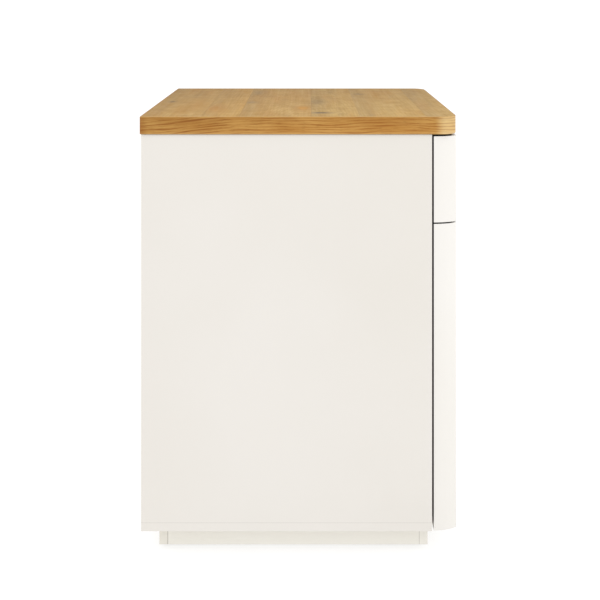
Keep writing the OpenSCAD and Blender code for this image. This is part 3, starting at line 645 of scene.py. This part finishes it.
MATERIALS = {
    "oak": oak_top(),
    "oak_edge": oak_edge(),
    "white_board": lacquer("white_board", WHITE, 0.42, 1.0, BOARD_JOINTS),
    "white_front": lacquer("white_front", FRONT_WHITE_LIT, 0.38, 2.0),
    "plinth_white": lacquer("plinth_white", PLINTH_WHITE_LIT, 0.46, 3.0, PLINTH_JOINTS),
    "plinth_rear_shaded_white": lacquer("plinth_rear_shaded_white", PLINTH_REAR_WHITE_SHADED, 0.46, 4.0, PLINTH_JOINTS),
    "beech": beech(),
    "zinc_screws": plated_steel("zinc_screws", srgb(205, 206, 208), 0.26, None, 1.0),
    "zinc_steel": plated_steel("zinc_steel", srgb(198, 199, 200), 0.28, Y, 2.0),
    "cage_steel": plated_steel("cage_steel", srgb(160, 160, 162), 0.30, Y, 3.0),
    "axle_steel": plated_steel("axle_steel", srgb(190, 190, 192), 0.22, X, 4.0),
    "grey_plastic": moulded_plastic("grey_plastic", srgb(122, 124, 127), 0.45, 1.0),
    "black_plastic": moulded_plastic("black_plastic", srgb(38, 38, 40), 0.42, 2.0, 0.12),
    "wheel_nylon": moulded_plastic("wheel_nylon", srgb(46, 46, 48), 0.5, 3.0, 0.45),
}
BOX_LAYERS, SHEET_LAYERS, RAIL_LAYERS = 9, 3, 11
PLY = {
    "side": plywood("birch_side", X, Y, BOX_LAYERS, 1.0),
    "end": plywood("birch_end", Y, X, BOX_LAYERS, 2.0),
    "flat": plywood("birch_flat", Z, X, SHEET_LAYERS, 3.0),
    "rail": plywood("birch_rail", Z, X, RAIL_LAYERS, 4.0),
}


def ply_kind(node):
    """Which way a plywood board lies, from its name."""
    if node.endswith(("_left", "_right")):
        return "side"
    if node.endswith("_bottom"):
        return "flat"
    return "rail" if node.startswith("top_rail") else "end"


def dress_nodes():
    """Every CAD node takes its slot's material; a plywood board's depends on which way it lies."""
    for part in frame["record"]["subparts"]:
        node, slot = part["node"], part["material_slot"]
        material = PLY[ply_kind(node)] if slot == "birch" else MATERIALS[slot]
        # the plinth's rear board takes the darker, shaded copy of its white
        if node == "plinth_rear":
            material = MATERIALS["plinth_rear_shaded_white"]
        mesh = frame["nodes"][node].data
        mesh.materials.clear()
        mesh.materials.append(material)


# ------------------------------------------------------------------ softened arrises

def soften(node, width, segments=3):
    """Rounds a CAD node's sharp edges. Its faces arrive unjoined, so they are welded first."""
    thing = frame["nodes"][node]
    weld = thing.modifiers.new("weld", "WELD")
    weld.merge_threshold = 0.005 * MM
    bevel = thing.modifiers.new("arris", "BEVEL")
    bevel.width = width
    bevel.segments = segments
    bevel.limit_method = "ANGLE"
    bevel.angle_limit = math.radians(40)
    bevel.harden_normals = True
    bevel.use_clamp_overlap = True


PAINTED_BOARDS = (
    "side_panel_left", "side_panel_right", "bottom_panel", "back_panel",
    "plinth_front", "plinth_rear", "plinth_left", "plinth_right",
)
PAINTED_ARRIS, FRONT_ARRIS, BOX_ARRIS = 0.2 * MM, 0.35 * MM, 0.7 * MM


def soften_boards():
    """Painted boards are nearly sharp, the fronts a little softer, the drawer boxes sanded round."""
    for node in PAINTED_BOARDS:
        soften(node, PAINTED_ARRIS)
    for node in ("upper_front", "file_front"):
        soften(node, FRONT_ARRIS)
    for node in frame["nodes"]:
        if "_box_" in node and not node.endswith("_bottom"):
            soften(node, BOX_ARRIS)


# ------------------------------------------------------------------ the edge band

FRONT_CORNER, REAR_CORNER = 22 * MM, 2.5 * MM
CORNER_STEPS = 16
BAND_ARRIS = 0.7 * MM
ARRIS_STEPS = 5


def band_outline(inset):
    """The top in plan, drawn in by inset, counter-clockwise from the front left corner."""
    corners = [
        (TOP_LOW.x + FRONT_CORNER, TOP_LOW.y + FRONT_CORNER, FRONT_CORNER, 180),
        (TOP_HIGH.x - FRONT_CORNER, TOP_LOW.y + FRONT_CORNER, FRONT_CORNER, 270),
        (TOP_HIGH.x - REAR_CORNER, TOP_HIGH.y - REAR_CORNER, REAR_CORNER, 0),
        (TOP_LOW.x + REAR_CORNER, TOP_HIGH.y - REAR_CORNER, REAR_CORNER, 90),
    ]
    points = []
    for centre_x, centre_y, radius, start in corners:
        for step in range(CORNER_STEPS + 1):
            turn = math.radians(start + 90 * step / CORNER_STEPS)
            reach = radius - inset
            points.append((centre_x + reach * math.cos(turn), centre_y + reach * math.sin(turn)))
    return points


def band_section():
    """The band cut across, as inset and height: up its rounded outer side, from inner foot to inner head."""
    thick = CORE_LOW.x - TOP_LOW.x
    turns = [math.radians(90 * step / ARRIS_STEPS) for step in range(ARRIS_STEPS + 1)]
    section = [(thick, TOP_LOW.z)]
    for turn in turns:
        inset, rise = BAND_ARRIS * (1 - math.sin(turn)), BAND_ARRIS * (1 - math.cos(turn))
        section.append((inset, TOP_LOW.z + rise))
    for turn in turns:
        inset, drop = BAND_ARRIS * (1 - math.cos(turn)), BAND_ARRIS * (1 - math.sin(turn))
        section.append((inset, TOP_HIGH.z - drop))
    section.append((thick, TOP_HIGH.z))
    return section


def swept_mesh(name, rings):
    """A closed skin over rings of points, the last one joined to the first."""
    shape = bmesh.new()
    rings = [[shape.verts.new(point) for point in ring] for ring in rings]
    for index, ring in enumerate(rings):
        above = rings[(index + 1) % len(rings)]
        for i in range(len(ring)):
            j = (i + 1) % len(ring)
            shape.faces.new((ring[i], ring[j], above[j], above[i]))
    bmesh.ops.recalc_face_normals(shape, faces=shape.faces)
    mesh = bpy.data.meshes.new(name)
    shape.to_mesh(mesh)
    shape.free()
    return mesh


def edge_band():
    """The band with rounded outer arrises, swept round the top."""
    rings = [[(x, y, level) for x, y in band_outline(inset)] for inset, level in band_section()]
    mesh = swept_mesh("oak_edge_band", rings)
    mesh.materials.append(MATERIALS["oak_edge"])
    mesh.shade_smooth()
    mesh.set_sharp_from_angle(angle=math.radians(50))
    band = bpy.data.objects.new("oak_edge_band", mesh)
    bpy.context.scene.collection.objects.link(band)
    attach(band, "cabinet")
    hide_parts("top_edge_band")


# ------------------------------------------------------------------ stage, light and camera

FLOOR_HALF = 300.0
FLOOR_TONES = (0.44, 0.44, 0.44, 1), (0.46, 0.46, 0.46, 1)
FLOOR_GLOW = 0.60
SKY_STRENGTH = 1.18
# Each lamp's name, place, diameter and power; all aim at the middle of the cabinet
LAMPS = (
    ("front_key", (-0.9, -3.0, 1.6), 2.2, 14),
    ("side_fill", (-3.2, 0.8, 1.8), 2.6, 6),
    ("right_fill", (3.0, -0.6, 1.6), 2.4, 6),
    ("rear_fill", (0.6, 3.2, 1.8), 2.4, 5),
)
LAMP_TARGET = Vector((0, 0, 0.35))


def floor():
    """A pale floor that runs past the horizon and glows softly. From below it is clear."""
    g = Graph("floor")
    tone = g.mix(g.noise(g.coordinates(), 1.5, 3.0), *FLOOR_TONES)
    glow = {"Emission_Color": (1, 1, 1, 1), "Emission_Strength": FLOOR_GLOW}
    material = g.finish(tone, 0.9, one_sided=True, Specular_IOR_Level=0.1, **glow)
    mesh = bpy.data.meshes.new("floor")
    corners = [(-1, -1, 0), (1, -1, 0), (1, 1, 0), (-1, 1, 0)]
    mesh.from_pydata([(FLOOR_HALF * x, FLOOR_HALF * y, z) for x, y, z in corners], [], [(0, 1, 2, 3)])
    mesh.materials.append(material)
    plane = bpy.data.objects.new("floor", mesh)
    bpy.context.scene.collection.objects.link(plane)


def softbox(name, place, size, power):
    """A round lamp that faces the cabinet."""
    light = bpy.data.lights.new(name, "AREA")
    light.shape = "DISK"
    light.size = size
    light.energy = power
    lamp = bpy.data.objects.new(name, light)
    lamp.location = place
    lamp.rotation_euler = (LAMP_TARGET - Vector(place)).to_track_quat("-Z", "Y").to_euler()
    bpy.context.scene.collection.objects.link(lamp)


def lights():
    """The lamps, and an even white sky."""
    for lamp in LAMPS:
        softbox(*lamp)
    world = bpy.data.worlds.new("studio")
    world.use_nodes = True
    sky = world.node_tree.nodes["Background"]
    sky.inputs["Color"].default_value = (1, 1, 1, 1)
    sky.inputs["Strength"].default_value = SKY_STRENGTH
    bpy.context.scene.world = world
    bpy.context.scene.view_settings.view_transform = "Standard"


# The photo is a level view along +X with the lens shifted down, so upright edges stay upright
EYE = Vector((TOP_LOW.x - 1.339, -0.013, 0.797))
LENS, SENSOR = 56.85, 36
SHIFT_X, SHIFT_Y = -0.0130, -0.5107
VIEW_REACH = 1000


def camera():
    """The photo's viewpoint."""
    lens = bpy.data.cameras.new("camera")
    lens.lens = LENS
    lens.sensor_width = SENSOR
    lens.clip_end = VIEW_REACH
    eye = bpy.data.objects.new("camera", lens)
    eye.location = EYE
    eye.rotation_euler = Vector((1, 0, 0)).to_track_quat("-Z", "Y").to_euler()
    bpy.context.scene.collection.objects.link(eye)
    bpy.context.scene.camera = eye
    # the shift belongs to this one viewpoint, so it fades as soon as the camera stands anywhere else
    for channel, amount in (("shift_x", SHIFT_X), ("shift_y", SHIFT_Y)):
        driver = lens.driver_add(channel).driver
        driver.type = "SCRIPTED"
        variable = driver.variables.new()
        variable.name = "x"
        variable.type = "TRANSFORMS"
        variable.targets[0].id = eye
        variable.targets[0].transform_type = "LOC_X"
        variable.targets[0].transform_space = "WORLD_SPACE"
        driver.expression = f"{amount} * (abs(x - {EYE.x:.6f}) < 0.001)"


dress_nodes()
soften_boards()
edge_band()
floor()
lights()
camera()
